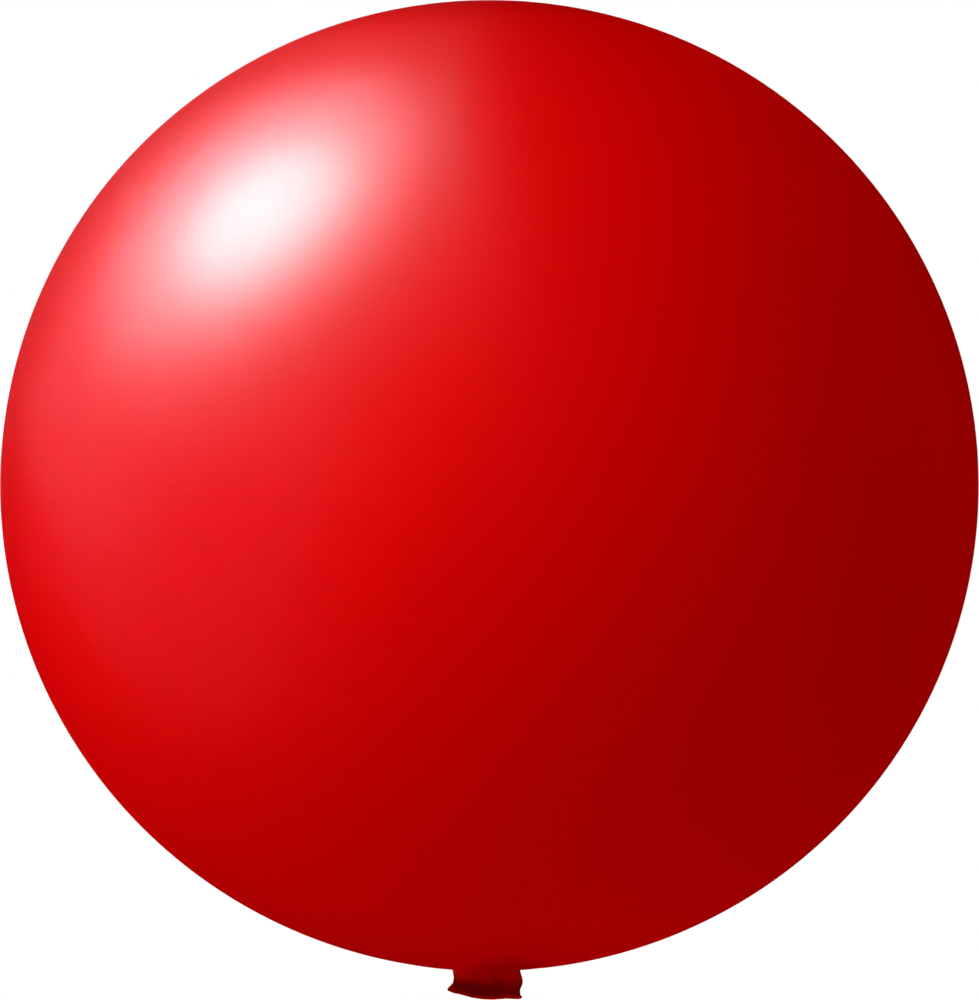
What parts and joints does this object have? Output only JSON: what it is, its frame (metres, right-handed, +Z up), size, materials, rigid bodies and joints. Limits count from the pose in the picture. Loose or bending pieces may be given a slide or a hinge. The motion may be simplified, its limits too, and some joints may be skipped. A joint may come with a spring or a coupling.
{
  "type": "giant latex balloon",
  "caption": "Giant round latex balloon, inflated, with a short open neck, a rolled lip and a pull-out stopper in its throat.",
  "frame": {"origin": "centre of the inflated envelope", "axes": "+Z up through the crown, -Z down the neck, -Y towards the front"},
  "size_m": [0.9096, 0.9096, 0.9314],
  "materials": {
    "latex_skin": "taut satin latex, saturated red",
    "latex_neck": "limp unstretched latex, darker red",
    "stopper_plastic": "soft moulded plastic, cream"
  },
  "bodies": {
    "balloon": {"envelope": "latex_skin", "neck": "latex_neck", "lip_bead": "latex_neck"},
    "stopper": {"stopper": "stopper_plastic"}
  },
  "joints": [
    {"name": "stopper_pull", "type": "slide", "parent": "balloon", "child": "stopper", "axis": [0, 0, -1], "range_m": [0, 0.06]}
  ]
}
